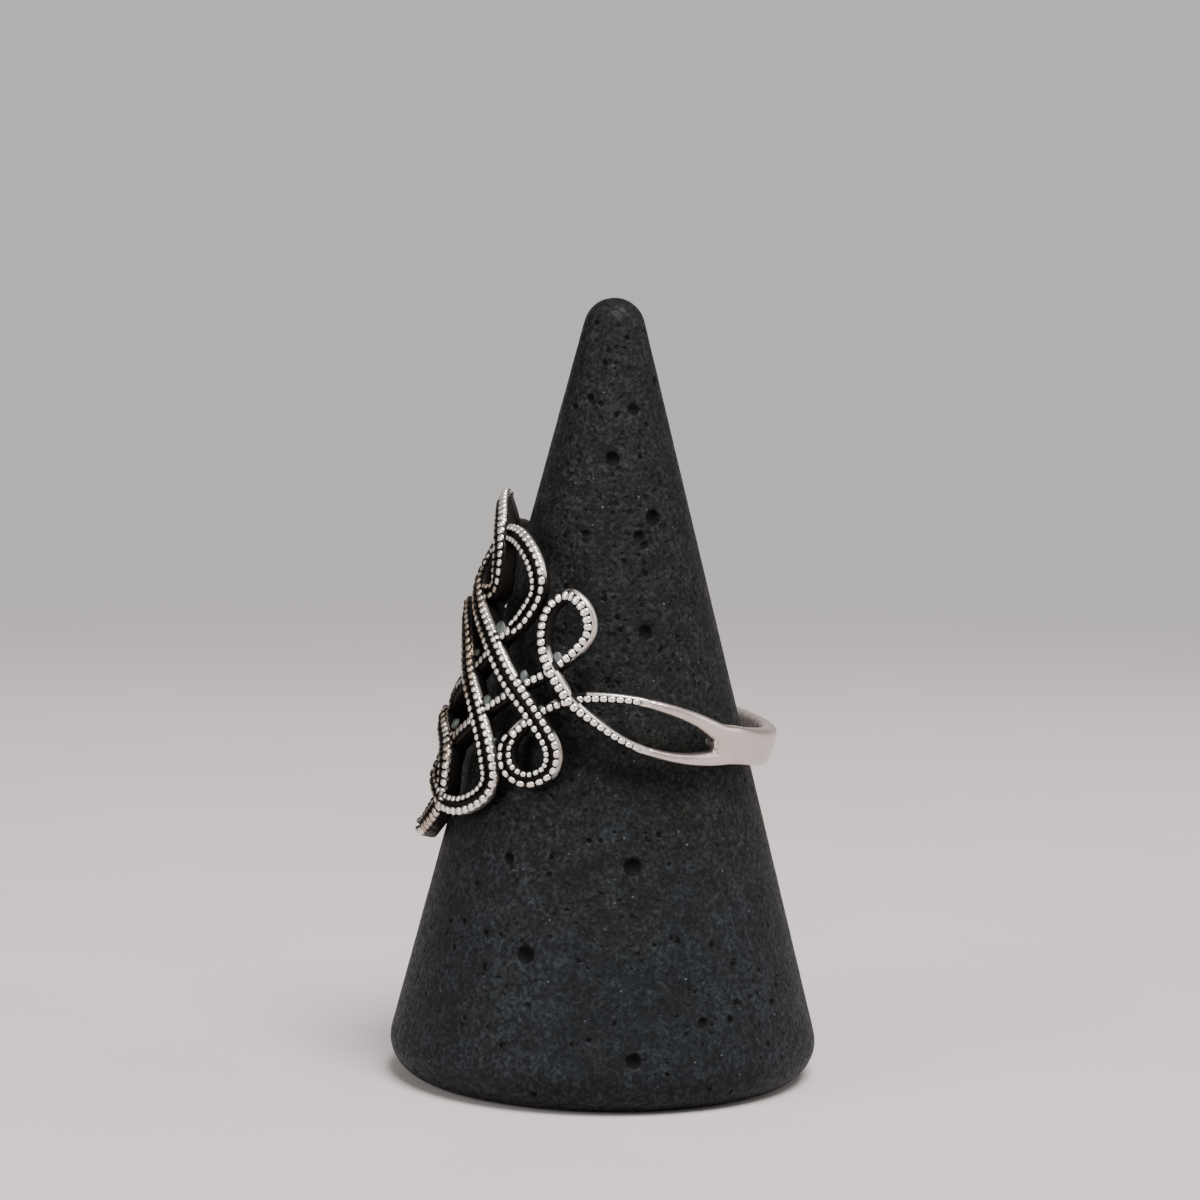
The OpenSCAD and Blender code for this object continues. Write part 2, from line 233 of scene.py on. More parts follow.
def bend(table, s):
    """Rows of a table at the stations s, on a smooth curve through its own rows."""
    last = len(table) - 1
    i = np.clip(np.floor(s).astype(int), 0, last - 1)
    t = (s - i)[:, None]
    a, b, c, d = (table[np.clip(i + k, 0, last)] for k in (-1, 0, 1, 2))
    return (b + (c - a) * t / 2 + (2 * a - 5 * b + 4 * c - d) * t ** 2 / 2
            + (3 * b - 3 * c + d - a) * t ** 3 / 2)


def ramp(values, start, end, least=0):
    """Shares from 0 where the values are at the start to 1 where they are at the end."""
    return np.clip((values - start) / (end - start), least, 1)


def crest_radius(rows):
    share = ramp(rows[:, ANGLE], BLEND_FROM, BLEND_TO)
    heights, drops = zip(*PANEL)
    return RING_R - np.interp(rows[:, HEIGHT], heights, drops) * (1 - share)


def out_of_finger(rows):
    angle = np.radians(rows[:, ANGLE])
    return np.stack((-np.cos(angle), -np.sin(angle), 0 * angle), 1)


def unit(v):
    return v / np.linalg.norm(v, axis=1, keepdims=True)


def centre(table, s, flat=False):
    """Points of a strand's crest at the stations s."""
    rows = bend(table, s)
    rise = np.zeros(len(s))
    if not flat:
        before, after = bend(table, s - NUDGE), bend(table, s + NUDGE)
        across = np.radians(after[:, ANGLE] - before[:, ANGLE]) * RING_R
        along = after[:, HEIGHT] - before[:, HEIGHT]
        share = ramp(rows[:, ANGLE], BLEND_TO, BLEND_TO - WEAVE_BLEND)
        rise = (-2 * WEAVE * across * along / (across ** 2 + along ** 2) * share
                + TIP_RISE * rows[:, LIMB])
    points = out_of_finger(rows) * (crest_radius(rows) + rise)[:, None]
    points[:, 2] = rows[:, HEIGHT]
    return points


def stations(table, first, last, spacing):
    """Stations between two rows of a table, evenly spaced along the strand from the last one."""
    fine = np.linspace(last, first, STRAND_SAMPLES)
    points = centre(table, fine)
    run = np.concatenate(([0], np.cumsum(np.linalg.norm(np.diff(points, axis=0), axis=1))))
    return np.interp(np.arange(0, run[-1], spacing), run, fine)


def station_at(table, angle):
    """Station of an arm at an angle round the finger."""
    s = np.linspace(0, ARM_ROWS, ARM_SAMPLES)
    return float(s[np.argmax(bend(table, s)[:, ANGLE] < angle)])


def axes(table, s, flat=False):
    """Crest points with the directions along, across and out of a strand."""
    rows = bend(table, s)
    points = centre(table, s, flat)
    along = unit(centre(table, s + NUDGE, flat) - centre(table, s - NUDGE, flat))
    side = unit(np.cross(along, out_of_finger(rows)))
    return rows, points, along, side, np.cross(side, along)


def place_ring(points):
    """Points of the ring's own frame, turned and moved to where it sits on the cone."""
    a = math.radians(RING_TILT)
    turned = np.array(points, float)
    x, z = turned[:, 0].copy(), turned[:, 2].copy()
    turned[:, 0] = x * math.cos(a) + z * math.sin(a)
    turned[:, 2] = z * math.cos(a) - x * math.sin(a)
    return turned + np.array(RING_PLACE)


def fade(angle, name):
    """Share of the beads, from 1 on the panel to 0 on the arms."""
    low, high = FADE[name]
    return ramp(angle, high, low)


def doubled(rows):
    """How far a strand carries two rows of beads instead of one."""
    return np.clip((rows[:, WIDTH] - DOUBLE_FROM) / DOUBLE_OVER + rows[:, LIMB], 0, 1)


# Half cross-sections of a strand, from the foot to the middle of the crest: share of the half
# width, depth in millimetres, and polish from 0 in a recess to 1
SMOOTH = np.array((
    (0.60, -0.90, 0.3), (0.80, -0.84, 0.5), (0.93, -0.66, 0.8), (0.99, -0.44, 1.0),
    (0.99, -0.27, 1.0), (0.91, -0.12, 1.0), (0.72, -0.045, 1.0), (0.40, -0.012, 1.0),
    (0.0, 0.0, 1.0)))
# One row of beads, and two, with a dark flank and with a polished one
ONE_DARK = np.array((
    (0.60, -0.90, 0.0), (0.80, -0.84, 0.0), (0.92, -0.66, 0.0), (0.97, -0.46, 0.05),
    (0.94, -0.34, 0.05), (0.86, -0.27, 0.0), (0.70, -0.23, 0.0), (0.40, -0.21, 0.0),
    (0.0, -0.21, 0.0)))
ONE_BRIGHT = np.array((
    (0.60, -0.90, 0.0), (0.80, -0.84, 0.0), (0.93, -0.66, 0.2), (0.99, -0.44, 0.6),
    (0.97, -0.26, 1.0), (0.86, -0.12, 1.0), (0.50, -0.03, 1.0), (0.36, -0.19, 0.1),
    (0.0, -0.21, 0.0)))
TWO_DARK = np.array((
    (0.60, -0.90, 0.0), (0.80, -0.84, 0.0), (0.92, -0.66, 0.0), (0.97, -0.46, 0.05),
    (0.94, -0.35, 0.05), (0.86, -0.28, 0.0), (0.68, -0.26, 0.0), (0.34, -0.27, 0.0),
    (0.0, -0.30, 0.0)))
TWO_BRIGHT = np.array((
    (0.60, -0.90, 0.0), (0.80, -0.84, 0.0), (0.93, -0.66, 0.0), (0.99, -0.48, 0.3),
    (0.985, -0.34, 1.0), (0.92, -0.20, 1.0), (0.80, -0.13, 1.0), (0.70, -0.30, 0.1),
    (0.0, -0.30, 0.0)))
DEEP_POLISH = np.array((0.2, 0.5, 0.9, 1.0, 1.0, 1.0, 1.0, 0.1, 0.0))
# Points of a half section where the rim ends and where the floor beside it starts, how far
# apart they are, and how near to the middle the floor may start
RIM_POINT, FLOOR_POINT, RIM_SLOPE, FLOOR_LEAST = 6, 7, 0.14, 0.04
# Depth below which a section is its foot, and depth below which it is its flank
FOOT_DEPTH, FLANK_DEPTH = -0.5, -0.16
# Painted shade on the strands' flanks: how much polish a flank that faces down loses, so that
# it darkens towards the oxide colour, the share of that where it faces sideways, and what the
# share gains from there
FLANK_PAINTED_SHADE, SIDE_SHADE_SHARE, DOWN_SHADE_GAIN = 0.6, 0.3, 0.7


def section_shapes(rows, name):
    """Cross-sections of a strand at its rows, left flank first."""
    beaded = fade(rows[:, ANGLE], name)[:, None, None]
    double = doubled(rows)[:, None, None]
    halves = []
    for column, away in ((LEFT, rows[:, SHIFT]), (RIGHT, -rows[:, SHIFT])):
        glow = np.clip(rows[:, column], 0, 1)[:, None, None]
        deep = np.clip(rows[:, column] - 1, 0, 1)[:, None]
        one = np.repeat(ONE_BRIGHT[None], len(rows), 0)
        two = np.repeat(TWO_BRIGHT[None], len(rows), 0)
        one[:, RIM_POINT, 0] = 2 * (ROW_END - 2 * (ONE_SHIFT + away))
        two[:, RIM_POINT, 0] -= np.maximum(away, 0) * 2 * TWO_PUSH_OUTER
        for shape in (one, two):
            shape[:, FLOOR_POINT, 0] = np.maximum(shape[:, RIM_POINT, 0] - RIM_SLOPE,
                                                 FLOOR_LEAST)
            shape[:, :, 2] = np.maximum(shape[:, :, 2], DEEP_POLISH * deep)
        one = ONE_DARK * (1 - glow) + one * glow
        two = TWO_DARK * (1 - glow) + two * glow
        halves.append(SMOOTH * (1 - beaded) + (one * (1 - double) + two * double) * beaded)
    left = halves[0] * np.array((-1, 1, 1))
    return np.concatenate((left, halves[1][:, -2::-1]), 1)


def rings_of(table, s, name):
    """Cross-sections at the stations s and their polish; a strand's name asks for beads."""
    flat = name == "band"
    rows, points, _, side, up = axes(table, s, flat)
    if name in FADE:
        shape = section_shapes(rows, name)
    else:
        plain = np.concatenate((SMOOTH * np.array((-1, 1, 1)), SMOOTH[-2::-1]))
        shape = np.repeat(plain[None], len(s), 0)
    thick, sunk, painted_flank_shade = BAND_T if flat else STRAND_T, 0, 0
    if name in FADE:
        share = (ramp(rows[:, ANGLE], DEEPER_FROM, DEEPER_TO)
                 * ramp(rows[:, HEIGHT], DEEPER_END, DEEPER_TOP, DEEPER_LEAST))
        sunk = DEEPER * share[:, None, None] * (shape[:, :, 1:2] < FOOT_DEPTH)
        painted_flank_shade = FLANK_PAINTED_SHADE
    half = (rows[:, WIDTH] / 2)[:, None, None]
    rings = (points[:, None] + side[:, None] * shape[:, :, :1] * half
             + up[:, None] * (shape[:, :, 1:2] * thick / -SMOOTH[0, 1] - sunk))
    # Painted shade: flanks that face down, and less so sideways, lose polish and darken towards
    # oxide
    down = np.clip(SIDE_SHADE_SHARE - DOWN_SHADE_GAIN * side[:, 2:] * np.sign(shape[:, :, 0]), 0, 1)
    return rings, shape[:, :, 2] * (1 - painted_flank_shade * down * (shape[:, :, 1] < FLANK_DEPTH))


def with_mirror(near):
    """A half's values and the same ones on the other side of the panel's middle."""
    far = near[-2::-1].copy()
    if far.ndim == 3:
        far[:, :, 1] *= -1
    return np.concatenate((near, far))


# Modelling helpers

def deselect():
    bpy.ops.object.select_all(action="DESELECT")


def take(piece):
    deselect()
    piece.select_set(True)
    bpy.context.view_layer.objects.active = piece


def set_attribute(piece, name, values):
    layer = piece.data.attributes.get(name)
    if layer is None:
        layer = piece.data.attributes.new(name, "FLOAT", "POINT")
    layer.data.foreach_set("value", np.asarray(values, np.float32))


def get_points(piece):
    co = np.zeros(len(piece.data.vertices) * 3, np.float32)
    piece.data.vertices.foreach_get("co", co)
    return co.reshape(-1, 3).astype(float)


def set_points(piece, points):
    piece.data.vertices.foreach_set("co", np.asarray(points, np.float32).ravel())
    piece.data.update()


def lay_tube(name, rings, polish):
    """A grid is laid over a row of cross-sections, closed into a tube and capped."""
    n, m = rings.shape[:2]
    closed = np.concatenate((rings, rings[:, :1]), 1)
    deselect()
    bpy.ops.mesh.primitive_grid_add(x_subdivisions=m, y_subdivisions=n - 1, size=1)
    tube = bpy.context.object
    tube.name = name
    if len(tube.data.vertices) != n * (m + 1):
        raise RuntimeError(f"{name}: the grid has {len(tube.data.vertices)} points")
    set_points(tube, closed.reshape(-1, 3))
    set_attribute(tube, "polish", np.concatenate((polish, polish[:, :1]), 1).ravel())
    face_outwards(close=True)
    return tube


def face_outwards(close=False):
    """The active piece's faces point outwards; a tube's seam and ends are closed first."""
    bpy.ops.object.mode_set(mode="EDIT")
    bpy.ops.mesh.select_all(action="SELECT")
    if close:
        bpy.ops.mesh.remove_doubles(threshold=WELD)
        bpy.ops.mesh.fill_holes(sides=0)
    bpy.ops.mesh.normals_make_consistent(inside=False)
    bpy.ops.object.mode_set(mode="OBJECT")
    bpy.ops.object.shade_smooth()


def add_remesh(piece, size):
    remesh = piece.modifiers.new("Even mesh", "REMESH")
    remesh.mode = "VOXEL"
    remesh.voxel_size = size


def apply_all(piece):
    take(piece)
    for modifier in list(piece.modifiers):
        bpy.ops.object.modifier_apply(modifier=modifier.name)


def join(pieces, name):
    deselect()
    for piece in pieces:
        piece.select_set(True)
    bpy.context.view_layer.objects.active = pieces[0]
    bpy.ops.object.join()
    pieces[0].name = name
    return pieces[0]


def to_metres(piece, on_ring=True):
    points = get_points(piece)
    set_points(piece, (place_ring(points) if on_ring else points) * MM)


def finish_ring(piece, kind):
    to_metres(piece)
    finish_piece(piece, silver(kind), "ring")


def finish_piece(piece, material, node):
    piece.data.name = piece.name
    piece.data.materials.clear()
    piece.data.materials.append(material)
    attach(piece, "root")
    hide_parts(node)


# Materials

def socket(group, name, kind, way="INPUT", default=None):
    made = group.interface.new_socket(name, in_out=way, socket_type="NodeSocket" + kind)
    if default is not None:
        made.default_value = default
    return made


class Wiring:
    """Adds nodes to a tree and links them, named by their sockets."""

    def __init__(self, tree):
        self.tree = tree

    def node(self, kind, inputs=None, **settings):
        made = self.tree.nodes.new(kind)
        for key, value in settings.items():
            setattr(made, key, value)
        for key, value in (inputs or {}).items():
            self.put(made.inputs[key], value)
        return made

    def put(self, target, value):
        if isinstance(value, bpy.types.NodeSocket):
            self.tree.links.new(value, target)
        else:
            target.default_value = value

    def noise(self, vector, scale, detail=3.0, roughness=0.5):
        return self.node("ShaderNodeTexNoise", {
            "Vector": vector, "Scale": scale, "Detail": detail, "Roughness": roughness,
        }).outputs["Fac"]

    def ramp(self, value, low, high, to_low=0.0, to_high=1.0, smooth=True):
        return self.node("ShaderNodeMapRange", {
            "Value": value, "From Min": low, "From Max": high, "To Min": to_low,
            "To Max": to_high}, interpolation_type="SMOOTHSTEP" if smooth else "LINEAR",
        ).outputs["Result"]

    def math(self, operation, a, b):
        return self.node("ShaderNodeMath", {0: a, 1: b}, operation=operation).outputs[0]

    def plus(self, a, b):
        return self.math("ADD", a, b)

    def minus(self, a, b):
        return self.math("SUBTRACT", a, b)

    def times(self, a, b):
        return self.math("MULTIPLY", a, b)

    def mix(self, share, a, b, blend="MIX"):
        made = self.node("ShaderNodeMix", data_type="RGBA", blend_type=blend)
        self.put(made.inputs[0], share)
        self.put(made.inputs[6], a)
        self.put(made.inputs[7], b)
        return made.outputs[2]

    def place(self):
        return self.node("ShaderNodeTexCoord").outputs["Object"]

    def height(self, place):
        return self.node("ShaderNodeSeparateXYZ", {"Vector": place}).outputs["Z"]

    def attribute(self, name):
        return self.node("ShaderNodeAttribute", attribute_name=name).outputs["Fac"]

    def cells(self, place, scale):
        """Distance from the nearest cell's point, and that cell's own random numbers."""
        made = self.node("ShaderNodeTexVoronoi", {"Vector": place, "Scale": scale})
        own = self.node("ShaderNodeSeparateColor", {"Color": made.outputs["Color"]})
        return made.outputs["Distance"], own.outputs

    def finish(self, shader, color, roughness, height, strength, distance):
        self.put(shader.inputs["Base Color"], color)
        self.put(shader.inputs["Roughness"], roughness)
        shader.inputs["Specular IOR Level"].default_value = SPECULAR
        lift = self.node("ShaderNodeBump", {
            "Strength": strength, "Distance": distance, "Height": height})
        self.put(shader.inputs["Normal"], lift.outputs["Normal"])


def start_material(name):
    material = bpy.data.materials.new(name)
    material.use_nodes = True
    tree = material.node_tree
    return material, Wiring(tree), tree.nodes["Principled BSDF"]


# Specular level of silver and stone, the height in metres of the silver's bumps, and the
# strength and height of the stone's
SPECULAR, SILVER_BUMP, STONE_BUMP = 0.15, 0.00003, (0.6, 0.00012)
# Scale, detail and roughness of the silver's noises: patches and fine grain
SILVER_NOISES = (420.0, 4.0, 0.6), (2600.0, 3.0, 0.6)
# The silver's scratches: how much shorter they are up the piece, their scale and detail
SCRATCH_STRETCH, SCRATCH_NOISE = (1.0, 1.0, 6.0), (3800.0, 2.0)
# Polish between which oxide gives way to bright silver, and the oxide's roughness and metallic
BRIGHT_FROM_TO, OXIDE_ROUGH, OXIDE_METAL = (0.30, 0.75), 0.55, 0.35
# Noise between which the tarnish colour sets in, on the whole ring and, as darker patches,
# towards the panel's middle, and what the same patches add to the roughness
TARNISH_FROM_TO, PANEL_DARK_PATCHES, PATCH_ROUGH = (0.50, 0.68), (0.40, 0.54), 0.16
# Inputs of the aged silver with their own values
SILVER_INPUTS = (
    ("Polish", "Float", 1.0), ("Bright", "Color", (0.8, 0.78, 0.75, 1)),
    ("Tarnish", "Color", (0.3, 0.25, 0.18, 1)), ("Oxide", "Color", (0.02, 0.018, 0.016, 1)),
    ("Bright Roughness", "Float", 0.25), ("Tarnish Amount", "Float", 0.3),
    ("Scratch Height", "Float", 0.5))


def aged_silver_group():
    """Silver, polished where proud, blackened where hollow and where its polish carries painted
    shade.
    """
    group = bpy.data.node_groups.new("Aged silver", "ShaderNodeTree")
    for name, kind, default in SILVER_INPUTS:
        socket(group, name, kind, default=default)
    for name in ("Color", "Roughness", "Metallic", "Height"):
        socket(group, name, "Color" if name == "Color" else "Float", "OUTPUT")
    w = Wiring(group)
    given = w.node("NodeGroupInput").outputs
    place = w.place()
    patches, fine = (w.noise(place, *row) for row in SILVER_NOISES)
    edge = w.plus(given["Polish"], w.times(w.minus(fine, 0.5), 0.5))
    bright = w.ramp(edge, *BRIGHT_FROM_TO)
    worn = w.times(w.ramp(patches, *TARNISH_FROM_TO), given["Tarnish Amount"])
    lean = math.radians(RING_TILT)
    spot = w.node("ShaderNodeVectorMath", {
        0: place, 1: (math.cos(lean), 0, -math.sin(lean))},
        operation="DOT_PRODUCT").outputs["Value"]
    middle = (RING_PLACE[0] * math.cos(lean) - RING_PLACE[2] * math.sin(lean)) * MM
    # Darker, tarnish-coloured patches towards the panel's middle, ending below the upper tip
    outer = w.times(w.ramp(spot, middle + PANEL_DARK_FROM * MM, middle + PANEL_DARK_TO * MM),
                    w.ramp(patches, *PANEL_DARK_PATCHES))
    outer = w.times(outer, w.ramp(w.height(place), PANEL_DARK_TOP * MM, PANEL_DARK_END * MM, 1.0, 0.0))
    metal = w.mix(w.math("MAXIMUM", worn, outer), given["Bright"], given["Tarnish"])
    color = w.mix(bright, given["Oxide"], metal)
    rough = w.plus(given["Bright Roughness"], w.times(patches, PATCH_ROUGH))
    rough = w.ramp(bright, 0.0, 1.0, OXIDE_ROUGH, rough, smooth=False)
    metallic = w.ramp(bright, 0.0, 1.0, OXIDE_METAL, 1.0)
    streaks = w.node("ShaderNodeMapping", {
        "Vector": place, "Scale": SCRATCH_STRETCH}).outputs["Vector"]
    scratches = w.times(w.noise(streaks, *SCRATCH_NOISE), given["Scratch Height"])
    height = w.plus(scratches, w.times(fine, 0.5))
    w.node("NodeGroupOutput", {
        "Color": color, "Roughness": rough, "Metallic": metallic, "Height": height})
    return group


def silver_material(name, group, bright, rough, tarnish, scratch, bump):
    """One finish of the ring's silver, with its own values of the aged silver."""
    material, w, shader = start_material(name)
    look = bpy.context.scene.ring_silver
    aged = w.node("ShaderNodeGroup", {
        "Polish": w.attribute("polish"), "Bright": (*bright, 1),
        "Tarnish": (*(a * b for a, b in zip(bright, look.tarnish)), 1),
        "Oxide": (*look.oxide, 1), "Bright Roughness": rough, "Tarnish Amount": tarnish,
        "Scratch Height": scratch}, node_tree=group).outputs
    w.put(shader.inputs["Metallic"], aged["Metallic"])
    w.finish(shader, aged["Color"], aged["Roughness"], aged["Height"], bump, SILVER_BUMP)
    return material


# Scale, detail and roughness of the stone's noises, from its clouds to its finest grain
STONE_NOISES = (
    (160.0, 4.0, 0.55), (420.0, 3.0, 0.55), (1100.0, 3.0, 0.6), (3400.0, 2.0, 0.6),
    (5200.0, 1.0, 0.6))
SPECK_SCALE, PORE_SCALE, SMALL_PORE_SCALE = 1900.0, 1000.0, 2400.0
# Heights in metres between which the stone gets patchy, lighter and less cool towards its foot,
# where a stained belt starts and ends, and where the small pores get more crowded
PATCHY_Z, LIGHTER_FOOT_Z, COOL_Z = (0.027, 0.015), (0.018, 0.008), (0.006, 0.024)
BELT_FOOT_Z, BELT_TOP_Z, CROWDED_Z = (0.007, 0.013), (0.025, 0.017), (0.010, 0.024)


def stone_material():
    """Dark fine-grained stone: pores, light specks, faint brown stains, painted shade in its
    hollows.
    """
    look = bpy.context.scene.ring_stone
    material, w, shader = start_material("Pitted dark stone")
    place = w.place()
    clouds, tints, blotches, grain, fine = (w.noise(place, *row) for row in STONE_NOISES)
    # Dark and light grains, uneven in patches
    mixed = w.plus(w.times(blotches, 0.16), w.times(grain, 0.46))
    mixed = w.plus(mixed, w.times(fine, 0.38))
    shine = w.math("POWER", w.ramp(mixed, 0.39, 0.63, smooth=False), 1.7)
    base = w.mix(shine, (*look.dark, 1), (*look.light, 1))
    high = w.height(place)
    patchy = w.times(w.ramp(tints, 0.36, 0.64, -0.16, 0.34), w.ramp(high, *PATCHY_Z))
    uneven = w.plus(w.ramp(blotches, 0.38, 0.62, 0.66, 1.0), patchy)
    base = w.mix(1.0, base, w.node("ShaderNodeCombineColor", {
        "Red": uneven, "Green": uneven, "Blue": uneven}).outputs["Color"], "MULTIPLY")
    # Lighter towards the foot, cooler patches and brown stains in a belt
    base = w.mix(w.ramp(high, *LIGHTER_FOOT_Z, 0.0, 0.35), base, (*look.foot_lift, 1), "ADD")
    cool = w.plus(tints, w.ramp(high, *COOL_Z, 0.12, -0.04))
    base = w.mix(w.ramp(cool, 0.38, 0.62), base, (*look.tint, 1), "MULTIPLY")
    belt = w.times(w.ramp(high, *BELT_FOOT_Z), w.ramp(high, *BELT_TOP_Z))
    stain = w.ramp(w.plus(clouds, w.ramp(belt, 0.0, 1.0, -0.12, 0.06)), 0.48, 0.62, 0.0, 0.9)
    base = w.mix(stain, base, (*look.stain, 1), "MULTIPLY")
    # Light specks in a few of many cells
    away, own = w.cells(place, SPECK_SCALE)
    dot = w.ramp(w.plus(away, w.times(grain, 0.3)), 0.21, 0.30, 1.0, 0.0)
    speck = w.times(w.times(w.ramp(own["Red"], 0.84, 0.86), dot), 0.7)
    base = w.mix(speck, base, (*look.speck, 1))
    # Pores of two sizes with uneven rims, each with its cell's own radius
    wobble = w.times(w.minus(grain, 0.5), 0.5)
    away, own = w.cells(place, PORE_SCALE)
    size = w.ramp(own["Green"], 0.30, 1.0, 0.0, 0.22, smooth=False)
    pore = w.ramp(w.minus(w.plus(away, wobble), size), -0.07, 0.07, 1.0, 0.0)
    away, own = w.cells(place, SMALL_PORE_SCALE)
    crowd = w.plus(own["Blue"], w.ramp(clouds, 0.38, 0.62, -0.20, 0.10))
    crowd = w.plus(crowd, w.ramp(high, *CROWDED_Z, -0.15, 0.12))
    size = w.ramp(crowd, 0.42, 1.0, 0.0, 0.38, smooth=False)
    small = w.ramp(w.minus(w.plus(away, wobble), size), -0.12, 0.08, 0.85, 0.0)
    pore = w.math("MAXIMUM", pore, small)
    # Painted shade: the near-black hollow colour fills the pores, and the modelled pits by their
    # depth
    hollow = w.math("MAXIMUM", pore, w.ramp(w.attribute("pit"), 0.0, 0.35, 0.0, 0.85))
    base = w.mix(w.times(hollow, 0.9), base, (*look.hollow, 1))
    rough = w.math("MAXIMUM", w.ramp(grain, 0.3, 0.7, 0.72, 0.50), hollow)
    height = w.plus(w.minus(w.times(fine, 0.30), pore), w.times(blotches, 0.8))
    w.finish(shader, base, rough, height, *STONE_BUMP)
    return material


def silver(kind):
    """The ring's finishes: strand, bead, shank and solder."""
    group = bpy.data.node_groups.get("Aged silver") or aged_silver_group()
    look = bpy.context.scene.ring_silver
    # The satin tone is partly the duller finish of arms and band, partly a painted pink reflection
    bright, satin_and_pink_reflection, grey = tuple(look.bright), tuple(look.satin_and_pink_reflection), tuple(look.solder)
    # The strands' colour lies halfway between polished silver and that satin tone with its pink
    rim = tuple((a + b) / 2 for a, b in zip(bright, satin_and_pink_reflection))
    # Each finish's name, group, colour, roughness, tarnish, scratches and bump
    values = {
        "strand": ("Oxidised silver strand", group, rim, look.gloss + 0.03, 0.6, 0.5, 0.4),
        "bead": ("Oxidised silver bead", group, bright, look.gloss + 0.03, 0.3, 0.3, 0.3),
        "shank": ("Satin silver shank", group, satin_and_pink_reflection, look.gloss + 0.04, 0.12, 1.0, 0.5),
        "solder": ("Grey silver solder", group, grey, look.gloss + 0.3, 0.5, 0.3, 0.6)}
    return silver_material(*values[kind])


# Settings

def number(name, description, default, least, most, **kind):
    return FloatProperty(name=name, description=description, default=default, min=least,
                         max=most, **kind)


def tone(name, description, default):
    return FloatVectorProperty(name=name, description=description, default=default, min=0,
                               max=1, subtype="COLOR")


class RingStrandSettings(bpy.types.PropertyGroup):
    bead_pitch: number(
        "Bead pitch", "Distance between beads along a strand",
        0.00048, 0.0003, 0.0008, unit="LENGTH", precision=5)
    bead_length: number(
        "Bead length", "Share of the pitch that a bead fills", 0.91, 0.5, 1.1, subtype="FACTOR")
    row_offset: number(
        "Row offset", "Place of a double strand's rows, as a share of its width",
        0.28, 0.2, 0.4, subtype="FACTOR")
    bead_width: number(
        "Bead width", "Half width of a bead in two rows, as a share of the strand's",
        0.165, 0.1, 0.25, subtype="FACTOR")
    rib_width: number(
        "Rib width", "Half width of a bead in one row, as a share of the strand's",
        0.33, 0.2, 0.5, subtype="FACTOR")
    section_spacing: number(
        "Section spacing", "Distance between cross-sections of a strand",
        0.00016, 0.0001, 0.0005, unit="LENGTH", precision=5)


class RingSilverSettings(bpy.types.PropertyGroup):
    bright: tone("Polished silver", "Colour of the raised silver", (0.95, 0.91, 0.85))
    # Partly the arms' and band's duller satin tone, partly a painted reflection of pink
    # surroundings
    satin_and_pink_reflection: tone("Satin silver", "Colour of the smooth arms and band", (0.62, 0.545, 0.505))
    tarnish: tone("Tarnish", "Tint of the silver where it is tarnished", (0.44, 0.37, 0.30))
    oxide: tone("Oxide", "Colour of the blackened recesses", (0.008, 0.006, 0.005))
    solder: tone("Solder", "Colour of the solder joints", (0.11, 0.125, 0.118))
    gloss: number(
        "Roughness", "Roughness of the polished silver", 0.21, 0.05, 0.7, subtype="FACTOR")


class RingStoneSettings(bpy.types.PropertyGroup):
    mesh_size: number(
        "Mesh size", "Edge of the stone's mesh away from its pits",
        0.000225, 0.00015, 0.001, unit="LENGTH", precision=6)
    dark: tone("Dark grain", "Colour of the stone's dark grains", (0.0010, 0.0010, 0.0010))
    light: tone("Light grain", "Colour of the stone's lighter grains", (0.0205, 0.0205, 0.0204))
    speck: tone("Speck", "Colour of the small light specks", (0.090, 0.098, 0.110))
    stain: tone("Stain", "Tint of the faint brown stains", (1.0, 0.96, 0.74))
    # Colour added towards the cone's foot, which makes it lighter there
    foot_lift: tone("Dust", "Colour that the worn foot of the cone gains", (0.0060, 0.0068, 0.0080))
    tint: tone("Tint", "Tint of the stone's cooler patches", (0.72, 0.85, 1.0))
    # Painted shade inside the pits and pores
    hollow: tone("Hollow", "Colour inside pits and pores", (0.0005, 0.0005, 0.0005))


class RingStageSettings(bpy.types.PropertyGroup):
    floor: tone("Floor", "Colour of the plain floor", (0.56, 0.51, 0.50))
    key: number("Key light", "Power of the main soft light", 7.0, 0, 50, subtype="POWER")
    side: number(
        "Side light", "Power of the broad light on the right", 0.9, 0, 50, subtype="POWER")
    fill: number("Fill light", "Power of the fill light on the left", 1.8, 0, 50, subtype="POWER")
    sky: number("Sky", "Strength of the even light from all round", 0.30, 0, 5)
    backdrop: number("Backdrop", "Brightness of the plain space round the floor", 0.60, 0, 5)


# Operators

class RING_OT_strands(bpy.types.Operator):
    """Lay the two plaited strands through the panel, without their beads"""
    bl_idname = "ring.strands"
    bl_label = "Strands"

    def execute(self, context):
        spacing = context.scene.ring_strands.section_spacing / MM
        tubes = []
        for name, table, end in STRANDS:
            first = station_at(table, FADE[name][1] + STRAND_OVERLAP)
            s = stations(table, first, end, spacing)
            rings, polish = rings_of(table, s[::-1], name)
            middle = rings.mean(1, keepdims=True)
            thin = np.interp(np.arange(len(rings)) * spacing, *STRAND_START)[:, None, None]
            rings = middle + (rings - middle) * thin
            tubes.append(lay_tube(name, with_mirror(rings), with_mirror(polish)))
        strands = join(tubes, "ring_strands")
        paint_crossing_shade(strands)
        finish_ring(strands, "strand")
        return {"FINISHED"}


